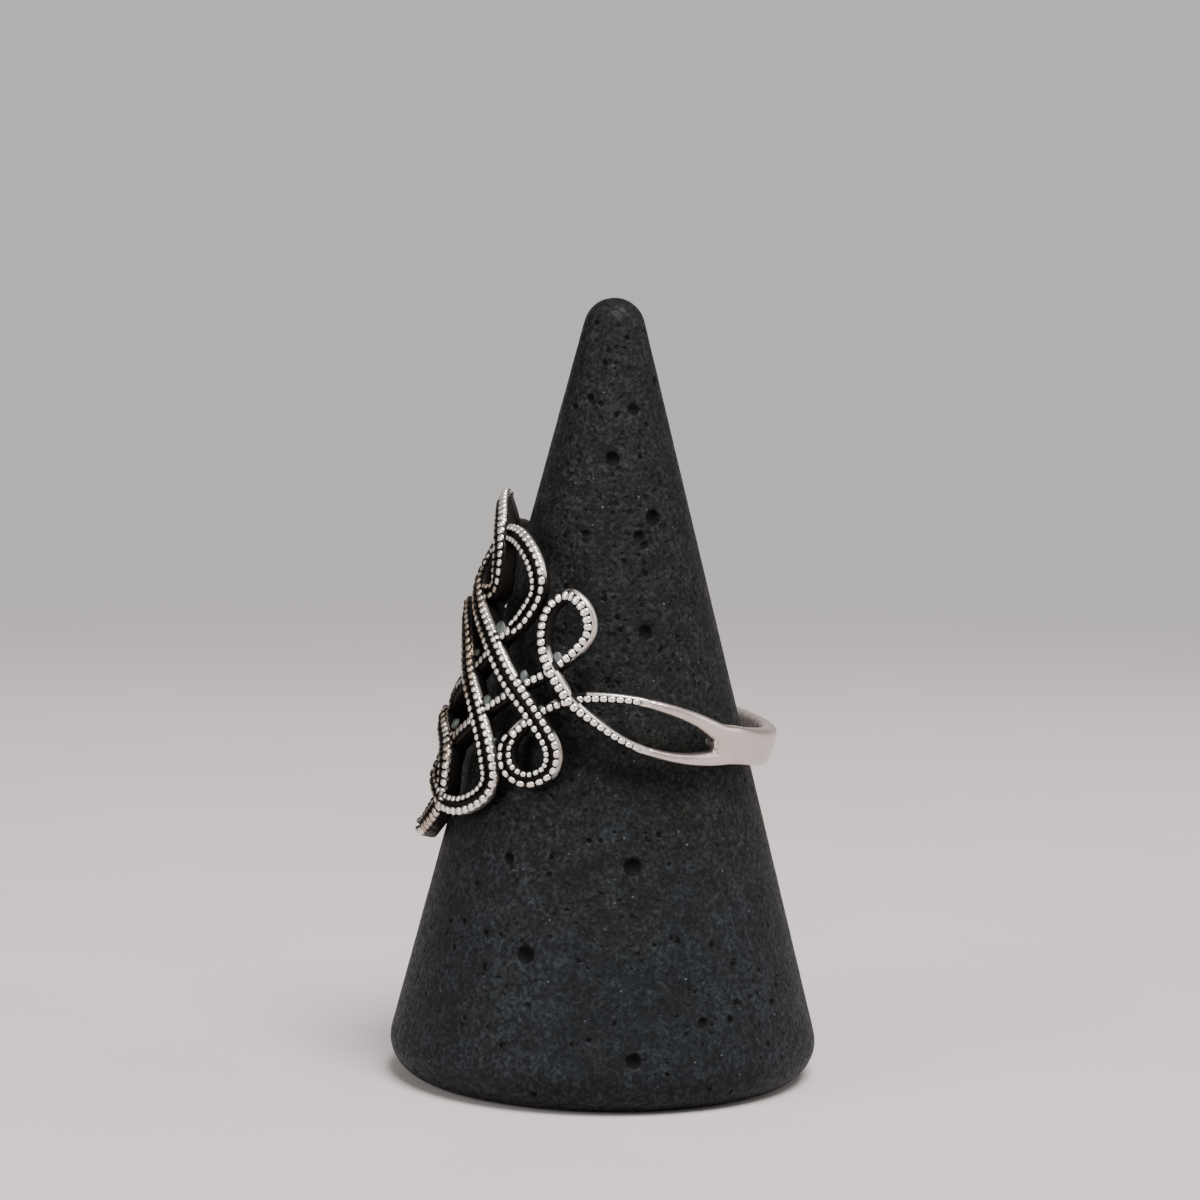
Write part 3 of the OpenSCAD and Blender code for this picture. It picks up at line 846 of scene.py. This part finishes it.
def paint_crossing_shade(piece):
    """Painted shade: under a limb that passes close above, the polish falls to the oxide colour.
    """
    limbs, runs = [], []
    for k, (_, table, end) in enumerate(STRANDS):
        s = stations(table, ARM_START, end, LIMB_SPACING)
        points = centre(table, s)
        run = np.arange(len(s)) * LIMB_SPACING + NEXT_STRAND * k
        for sign in (1, -1):
            limbs.append(points * np.array((1, sign, 1)))
            runs.append(run * sign - (NEXT_HALF if sign < 0 else 0))
    limbs, runs = np.concatenate(limbs), np.concatenate(runs)
    reach = np.hypot(limbs[:, 0], limbs[:, 1])
    tree = kdtree.KDTree(len(limbs))
    for i, point in enumerate(limbs):
        tree.insert(point, i)
    tree.balance()
    # Painted shade on each limb point, from 0 to 1, where another limb passes above it
    shade = np.zeros(len(limbs))
    for i, point in enumerate(limbs):
        for _, j, gap in tree.find_range(point, CROSSING_FAR):
            if abs(runs[j] - runs[i]) > OTHER_RUN and reach[j] - reach[i] > OTHER_ABOVE:
                near = (CROSSING_FAR - gap) / (CROSSING_FAR - CROSSING_NEAR)
                shade[i] = max(shade[i], min(near, 1.0))
    layer = piece.data.attributes["polish"].data
    polish = np.zeros(len(piece.data.vertices), np.float32)
    layer.foreach_get("value", polish)
    own = [tree.find(point)[1] for point in get_points(piece)]
    # The painted shade lowers the polish, so the silver there takes the dark oxide colour
    layer.foreach_set("value", polish * (1 - shade[own]))


class RING_OT_beads(bpy.types.Operator):
    """Set one or two rows of small beads along the crest of each strand"""
    bl_idname = "ring.beads"
    bl_label = "Beads"

    def execute(self, context):
        sizes = context.scene.ring_strands
        pitch = sizes.bead_pitch / MM
        places, turns, scales, glows, angles = [], [], [], [], []
        for name, table, end in STRANDS:
            s = stations(table, ARM_START, end, pitch)
            rows, points, along, side, up = axes(table, s)
            show, double = fade(rows[:, ANGLE], name), doubled(rows)
            for i in np.nonzero(show > BEAD_LEAST)[0]:
                for at, across, tall, lean, low, glow in bead_rows(rows[i], double[i], sizes):
                    spot = points[i] + side[i] * at
                    j = min(i + 1, len(s) - 1)
                    step = np.linalg.norm(points[j] + side[j] * at - spot) if j > i else pitch
                    step = min(max(step, STEP_LEAST * pitch), STEP_MOST * pitch)
                    length = step * sizes.bead_length / 2
                    tip = side[i] * math.sin(lean) + up[i] * math.cos(lean)
                    wide = side[i] * math.cos(lean) - up[i] * math.sin(lean)
                    drop = (tall - BEAD_PROUD) * (2 - show[i]) + low
                    spot = spot - up[i] * drop
                    for sign in ((1, -1) if i else (1,)):
                        flip = np.array((1, sign, 1))
                        columns = (along[i] * flip * -sign, wide * flip, tip * flip)
                        places.append(spot * flip)
                        turns.append(tuple(Matrix(np.stack(columns, 1)).to_euler()))
                        scales.append((length, across, tall))
                        glows.append(glow)
                        angles.append(rows[i, ANGLE])
        bead = model_bead()
        shape = get_points(bead)
        beads = instance_beads(bead, places, turns, scales)
        outer = np.array(glows)[:, None] * shape[None, :, 1]
        foot = (np.interp(angles, *BEAD_FOOT) + RIM_FOOT * np.abs(glows))[:, None]
        polish = foot + shape[None, :, 2] + np.where(outer > 0, RIM_GLOW, AWAY_GLOW) * outer
        set_attribute(beads, "polish", np.clip(polish, 0, 1).ravel())
        finish_ring(beads, "bead")
        return {"FINISHED"}


def bead_rows(row, double, sizes):
    """Place, half width, half height, lean, drop and polished side of the beads at one spot."""
    width, right, left = row[WIDTH], min(max(row[RIGHT], 0), 1), min(max(row[LEFT], 0), 1)
    if double < 0.5:
        away = row[SHIFT] - ONE_SHIFT * (right - left)
        half = sizes.rib_width - (sizes.rib_width - ROW_END) * abs(right - left) - abs(away)
        return ((away * width, half * width, ONE_TALL, 0.0, 0.0, right - left),)
    rows = []
    for side, own, other in ((1, right, left), (-1, left, right)):
        away = side * row[SHIFT]
        push = TWO_PUSH_OUTER * min(away, 0) + TWO_PUSH_INNER * max(away, 0)
        tooth = own * max(0, 1 + away / TOOTH_PUSH)
        place = (sizes.row_offset - TWO_SHIFT * tooth + TWO_SHIFT * INNER_SHIFTS * other
                 + push)
        half = sizes.bead_width + (TWO_GROWTH + TIP_GROWTH * row[LIMB]) * tooth
        lean = BEAD_LEAN + (TOOTH_LEAN - BEAD_LEAN) * tooth
        rows.append((side * place * width, half * width, TWO_TALL, side * lean,
                     TWO_DROP * tooth, side * own))
    return rows


def model_bead():
    """One bead of unit radius, a little squarer than a ball."""
    deselect()
    bpy.ops.mesh.primitive_uv_sphere_add(segments=12, ring_count=7, radius=1)
    bead = bpy.context.object
    bead.name = "bead"
    bpy.ops.object.shade_smooth()
    points = get_points(bead)
    length = (np.abs(points) ** BEAD_POWER).sum(1) ** (1 / BEAD_POWER)
    set_points(bead, points / length[:, None])
    return bead


def instance_beads(bead, places, turns, scales):
    """The bead is set at each place with its own turn and size, and made real."""
    mesh = bpy.data.meshes.new("ring_beads")
    mesh.from_pydata([tuple(p) for p in places], [], [])
    rows = bpy.data.objects.new("ring_beads", mesh)
    bpy.context.scene.collection.objects.link(rows)
    for name, values in (("turn", turns), ("size", scales)):
        layer = mesh.attributes.new(name, "FLOAT_VECTOR", "POINT")
        layer.data.foreach_set("vector", np.array(values, np.float32).ravel())
    tree = bpy.data.node_groups.new("Bead rows", "GeometryNodeTree")
    socket(tree, "Geometry", "Geometry")
    socket(tree, "Geometry", "Geometry", "OUTPUT")
    w = Wiring(tree)
    given = w.node("NodeGroupInput").outputs[0]
    turn, size = (w.node("GeometryNodeInputNamedAttribute", {"Name": name},
                         data_type="FLOAT_VECTOR").outputs["Attribute"]
                  for name in ("turn", "size"))
    shape = w.node("GeometryNodeObjectInfo", {"Object": bead})
    spread = w.node("GeometryNodeInstanceOnPoints", {
        "Points": given, "Instance": shape.outputs["Geometry"], "Rotation": turn,
        "Scale": size})
    real = w.node("GeometryNodeRealizeInstances", {"Geometry": spread.outputs["Instances"]})
    w.node("NodeGroupOutput", {0: real.outputs["Geometry"]})
    modifier = rows.modifiers.new("Rows", "NODES")
    modifier.node_group = tree
    apply_all(rows)
    bpy.data.objects.remove(bead)
    return rows


class RING_OT_shank(bpy.types.Operator):
    """Cast the smooth arms and the plain band behind the finger as one form"""
    bl_idname = "ring.shank"
    bl_label = "Shank"

    def execute(self, context):
        spacing = context.scene.ring_strands.section_spacing / MM
        parts = []
        for name, table, _ in STRANDS:
            last = station_at(table, FADE[name][1])
            s = stations(table, ARM_START, last, spacing * ARM_SPACING)
            rings, polish = rings_of(table, s[::-1], "arm")
            for sign in (1, -1):
                parts.append(lay_tube(name, rings * np.array((1, sign, 1)), polish))
        s = stations(BAND, 0, BAND_END, spacing * BAND_SPACING)
        rings, polish = rings_of(BAND, s[::-1], "band")
        parts.append(lay_tube("band", with_mirror(rings), with_mirror(polish)))
        shank = join(parts, "ring_shank")
        add_remesh(shank, CAST_VOXEL)
        soften = shank.modifiers.new("Soften", "SMOOTH")
        soften.factor, soften.iterations = SOFTEN_FACTOR, SOFTEN_STEPS
        apply_all(shank)
        bpy.ops.object.shade_smooth()
        reach = np.hypot(*get_points(shank).T[:2])
        set_attribute(shank, "polish", np.interp(reach, *INNER_POLISH))
        finish_ring(shank, "shank")
        return {"FINISHED"}


class RING_OT_solder(bpy.types.Operator):
    """Flow a low mound of solder where strands meet, and lay dark fillets of painted shade"""
    bl_idname = "ring.solder"
    bl_label = "Solder joints"

    def execute(self, context):
        solder = join([lay_mound(row, depth, sign, k, polish)
                       for table, depth, polish, halves in MOUNDS
                       for k, row in enumerate(table) for sign in halves], "ring_solder")
        face_outwards()
        finish_ring(solder, "solder")
        return {"FINISHED"}


def lay_mound(place, depth, sign, seed, polish):
    """A smooth uneven mound below the strands' crests, on the near or the far half."""
    angle, height, length, width, turn = place
    row = padded((angle, height))
    out = out_of_finger(row)[0]
    spot = out * (crest_radius(row)[0] - depth)
    spot[2] = height
    round_finger = np.array((-out[1], out[0], 0.0))
    lean = math.radians(turn)
    along = round_finger * math.cos(lean) + np.array((0, 0, 1.0)) * math.sin(lean)
    deselect()
    bpy.ops.mesh.primitive_uv_sphere_add(segments=20, ring_count=12, radius=1)
    mound = bpy.context.object
    points = get_points(mound)
    bumps = np.array([noise.noise(Vector(p) * MOUND_NOISE + Vector((seed * MOUND_SEED, 0, 0)))
                      for p in points])
    points *= (1 + MOUND_UNEVEN * bumps)[:, None]
    reach = np.stack((along * length, np.cross(out, along) * width, out * MOUND_TALL))
    reach[:2] *= MOUND_GROWTH
    set_points(mound, (points @ reach + spot) * np.array((1, sign, 1)))
    set_attribute(mound, "polish", np.full(len(points), polish))
    return mound


class RING_OT_stone(bpy.types.Operator):
    """Turn the stone cone with its pits and uneven, worn surface"""
    bl_idname = "ring.stone"
    bl_label = "Stone cone"

    def execute(self, context):
        cone = turn_cone()
        add_remesh(cone, context.scene.ring_stone.mesh_size / MM)
        apply_all(cone)
        set_points(cone, true_to_profile(get_points(cone)))
        pits = all_pits()
        refine_near(cone, pits)
        press_pits(cone, pits)
        to_metres(cone, on_ring=False)
        take(cone)
        bpy.ops.object.shade_smooth()
        finish_piece(cone, stone_material(), "cone_stand")
        return {"FINISHED"}


def turn_cone():
    """A frustum of the cone's height, whose tip and base edge are still sharp."""
    side = math.tan(CONE_ANGLE)
    deselect()
    bpy.ops.mesh.primitive_cone_add(
        vertices=160, radius1=APEX_Z * side, radius2=(APEX_Z - CONE_H) * side, depth=CONE_H,
        end_fill_type="NGON", location=(0, 0, CONE_H / 2))
    cone = bpy.context.object
    cone.name = "stone_cone"
    bpy.ops.object.transform_apply(location=True, rotation=False, scale=False)
    return cone


def true_to_profile(points):
    """Each point is moved to the nearest place on the cone's rounded outline."""
    r, z = np.hypot(points[:, 0], points[:, 1]), points[:, 2]
    cos, sin = math.cos(CONE_ANGLE), math.sin(CONE_ANGLE)
    tip_z = CONE_H - TIP_R
    off = r * cos + (z - APEX_Z) * sin
    out_r, out_z = r - off * cos, z - off * sin
    for centre_r, centre_z, radius, here in (
            (0.0, tip_z, TIP_R, (out_z > tip_z + TIP_R * sin) & (z > tip_z)),
            (EDGE_X, EDGE_R, EDGE_R, (out_z < EDGE_R + EDGE_R * sin) & (r > EDGE_X))):
        gap = np.maximum(np.hypot(r - centre_r, z - centre_z), TINY)
        out_r = np.where(here, centre_r + (r - centre_r) / gap * radius, out_r)
        out_z = np.where(here, centre_z + (z - centre_z) / gap * radius, out_z)
    flat = (r <= EDGE_X) & (z < EDGE_R)
    out_r, out_z = np.where(flat, r, out_r), np.where(flat, 0.0, out_z)
    scale = out_r / np.maximum(r, TINY)
    return np.stack((points[:, 0] * scale, points[:, 1] * scale, out_z), 1)


def all_pits():
    """Centres and radii of the near and far pits, a little outside the stone's side."""
    listed = list(PITS)
    for (count, largest, loss, step), (low, span), turn in (
            (FAR_PITS, FAR_Z, 0), (SMALL_FAR_PITS, SMALL_FAR_Z, SMALL_TURN)):
        for k in range(1, count + 1):
            # The larger ones rise evenly, and the small ones in jumps
            rise = span * (k * GOLDEN_STEP % 1) if turn else span * k / (count + 1)
            listed.append((90 + (k * GOLDEN + turn) % 180, low + rise,
                           largest * (1 - loss * (k * step % 1))))
    made = []
    for azimuth, z, r in listed:
        side = (APEX_Z - z) * math.tan(CONE_ANGLE) + r * PIT_PROUD / math.cos(CONE_ANGLE)
        a = math.radians(azimuth)
        made.append((np.array((side * math.sin(a), -side * math.cos(a), z)), r))
    return made


def refine_near(cone, pits):
    """Faces in and around each pit are divided, so that its rim is crisp."""
    points = get_points(cone)
    near = np.zeros(len(points), bool)
    for spot, r in pits:
        near |= np.linalg.norm(points - spot, axis=1) < r + PIT_MARGIN
    take(cone)
    bpy.ops.object.mode_set(mode="EDIT")
    bpy.ops.mesh.select_mode(type="VERT")
    bpy.ops.mesh.select_all(action="DESELECT")
    bpy.ops.object.mode_set(mode="OBJECT")
    cone.data.vertices.foreach_set("select", near)
    bpy.ops.object.mode_set(mode="EDIT")
    bpy.ops.mesh.subdivide(number_cuts=3, quadcorner="INNERVERT")
    bpy.ops.object.mode_set(mode="OBJECT")


def press_pits(cone, pits):
    """Points inside a pit's ball go to its wall, and the stone's face is made uneven."""
    points = get_points(cone)
    cos, sin = math.cos(CONE_ANGLE), math.sin(CONE_ANGLE)
    r = np.maximum(np.hypot(points[:, 0], points[:, 1]), TINY)
    inward = np.stack((-points[:, 0] / r * cos, -points[:, 1] / r * cos, 0 * r - sin), 1)
    rough = np.array([noise.noise(Vector(p) * FACE_NOISE)
                      + FACE_FINE * noise.noise(Vector(p) * FACE_FINE_NOISE) for p in points])
    depth = np.where(points[:, 2] > FACE_FROM, FACE_DEPTH + FACE_DEPTH * rough, 0)
    pit = np.zeros(len(points))
    for spot, radius in pits:
        gap = spot - points
        along = (gap * inward).sum(1)
        off2 = (gap ** 2).sum(1) - along ** 2
        inside = off2 < radius ** 2
        wall = along + np.sqrt(np.maximum(radius ** 2 - off2, 0))
        wall *= 1 + WALL_UNEVEN * rough
        sunk = np.where(inside & (np.abs(along) < 2 * radius), np.maximum(wall, 0), 0)
        depth = np.maximum(depth, sunk)
        pit = np.maximum(pit, sunk / radius)
    set_points(cone, points + inward * depth[:, None])
    set_attribute(cone, "pit", np.clip(pit, 0, 1))


class RING_OT_stage(bpy.types.Operator):
    """Set the plain floor, the soft lights and the camera"""
    bl_idname = "ring.stage"
    bl_label = "Stage"

    def execute(self, context):
        look = context.scene.ring_stage
        set_floor(look)
        set_lights(look)
        set_camera()
        return {"FINISHED"}


# Floor in metres: its width and length, how far it runs to the front and to the back until it
# bends up, and the bend's radius
FLOOR_WIDTH, FLOOR_LENGTH, FLOOR_FRONT, FLOOR_BACK, FLOOR_BEND = 3.0, 2.6, 1.0, 0.34, 0.30
# Distances in metres from the cone between which the floor fades into the backdrop, its
# roughness, and its noise's scale and tones
FADE_START, FADE_FULL, FLOOR_ROUGHNESS = 0.16, 0.50, 0.9
FLOOR_NOISE, FLOOR_TONES = 60.0, (0.97, 1.0)
SKY_TINT = (1.0, 0.965, 0.95, 1)
# Soft lights with their places and sizes in metres, and the place that they face
LIGHTS = {"key": ((0.12, -0.22, 0.55), 0.30), "side": ((0.50, -0.02, 0.20), 0.34),
          "fill": ((-0.42, -0.30, 0.22), 0.30)}
LIGHT_AIM = Vector((0, 0, 0.024))


def set_floor(look):
    """A plain floor that runs back from the cone and curves up behind it."""
    deselect()
    bpy.ops.mesh.primitive_grid_add(x_subdivisions=4, y_subdivisions=60, size=1)
    floor = bpy.context.object
    floor.name = "floor"
    points = get_points(floor)
    run = (points[:, 1] + 0.5) * FLOOR_LENGTH - FLOOR_FRONT
    turn = np.clip((run - FLOOR_BACK) / FLOOR_BEND, 0, math.pi / 2)
    rest = np.maximum(run - FLOOR_BACK - FLOOR_BEND * math.pi / 2, 0)
    y = np.minimum(run, FLOOR_BACK) + FLOOR_BEND * np.sin(turn)
    z = FLOOR_BEND * (1 - np.cos(turn)) + rest
    set_points(floor, np.stack((points[:, 0] * FLOOR_WIDTH, y, z), 1))
    bpy.ops.object.shade_smooth()
    material, w, shader = start_material("Pale floor")
    shade = w.ramp(w.noise(w.place(), FLOOR_NOISE), 0.3, 0.7, *FLOOR_TONES)
    w.put(shader.inputs["Base Color"], w.mix(shade, (0, 0, 0, 1), (*look.floor, 1)))
    shader.inputs["Roughness"].default_value = FLOOR_ROUGHNESS
    fade_far_floor(w, shader, look.backdrop)
    floor.data.materials.append(material)


def fade_far_floor(w, shader, strength):
    """Far from the cone the camera sees the floor as bright as the space behind it."""
    away = w.node("ShaderNodeVectorMath", {0: w.place()}, operation="LENGTH").outputs["Value"]
    seen = w.node("ShaderNodeLightPath").outputs["Is Camera Ray"]
    glow = w.node("ShaderNodeEmission", {"Color": SKY_TINT, "Strength": strength})
    both = w.node("ShaderNodeMixShader", {
        0: w.math("MULTIPLY", w.ramp(away, FADE_START, FADE_FULL), seen),
        1: shader.outputs["BSDF"], 2: glow.outputs["Emission"]})
    out = w.tree.nodes["Material Output"]
    w.put(out.inputs["Surface"], both.outputs["Shader"])


def set_lights(look):
    """A soft key above, a broad light on the right, a fill on the left, and an even sky."""
    for name, (place, size) in LIGHTS.items():
        deselect()
        bpy.ops.object.light_add(type="AREA", location=place)
        lamp = bpy.context.object
        lamp.name = name
        lamp.data.shape = "SQUARE"
        lamp.data.size = size
        lamp.data.energy = getattr(look, name)
        lamp.rotation_euler = (LIGHT_AIM - Vector(place)).to_track_quat("-Z", "Y").to_euler()
    world = bpy.data.worlds.new("Soft sky")
    bpy.context.scene.world = world
    world.use_nodes = True
    w = Wiring(world.node_tree)
    sky = world.node_tree.nodes["Background"]
    sky.inputs["Color"].default_value = SKY_TINT
    seen = w.node("ShaderNodeLightPath").outputs["Is Camera Ray"]
    w.put(sky.inputs["Strength"], w.ramp(seen, 0.0, 1.0, look.sky, look.backdrop, smooth=False))


# Camera: place in metres, pitch and roll in degrees, lens and sensor in millimetres, and the
# nearest distance in metres that it sees
CAMERA_PLACE = (-0.000595, -0.1827, 0.04166)
CAMERA_PITCH, CAMERA_ROLL = 4.1, 0.945
CAMERA_LENS, CAMERA_SENSOR, CAMERA_NEAR = 91.3, 36, 0.01


def set_camera():
    camera = bpy.data.objects.new("camera", bpy.data.cameras.new("camera"))
    bpy.context.scene.collection.objects.link(camera)
    camera.matrix_world = (
        Matrix.Translation(CAMERA_PLACE)
        @ Matrix.Rotation(math.radians(90 - CAMERA_PITCH), 4, "X")
        @ Matrix.Rotation(math.radians(CAMERA_ROLL), 4, "Z"))
    camera.data.lens = CAMERA_LENS
    camera.data.sensor_width = CAMERA_SENSOR
    camera.data.clip_start = CAMERA_NEAR
    bpy.context.scene.camera = camera


class RING_PT_panel(bpy.types.Panel):
    bl_label = "Ring"
    bl_idname = "RING_PT_panel"
    bl_space_type = "VIEW_3D"
    bl_region_type = "UI"
    bl_category = "Ring"

    def draw(self, context):
        for operator in OPERATORS:
            self.layout.operator(operator.bl_idname)
        for name in SETTINGS:
            box = self.layout.box()
            box.label(text=name.replace("_", " ").capitalize())
            group = getattr(context.scene, name)
            for key in group.__annotations__:
                box.prop(group, key)


OPERATORS = (RING_OT_strands, RING_OT_beads, RING_OT_shank, RING_OT_solder, RING_OT_stone,
             RING_OT_stage)
SETTINGS = {
    "ring_strands": RingStrandSettings, "ring_silver": RingSilverSettings,
    "ring_stone": RingStoneSettings, "ring_stage": RingStageSettings}


def register():
    for cls in (*SETTINGS.values(), *OPERATORS, RING_PT_panel):
        bpy.utils.register_class(cls)
    for name, cls in SETTINGS.items():
        setattr(bpy.types.Scene, name, PointerProperty(type=cls))


def unregister():
    for name in SETTINGS:
        delattr(bpy.types.Scene, name)
    for cls in reversed((*SETTINGS.values(), *OPERATORS, RING_PT_panel)):
        bpy.utils.unregister_class(cls)


def main():
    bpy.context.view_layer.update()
    register()
    bpy.ops.ring.strands()
    bpy.ops.ring.beads()
    bpy.ops.ring.shank()
    bpy.ops.ring.solder()
    bpy.ops.ring.stone()
    bpy.ops.ring.stage()


if __name__ == "__main__":
    main()
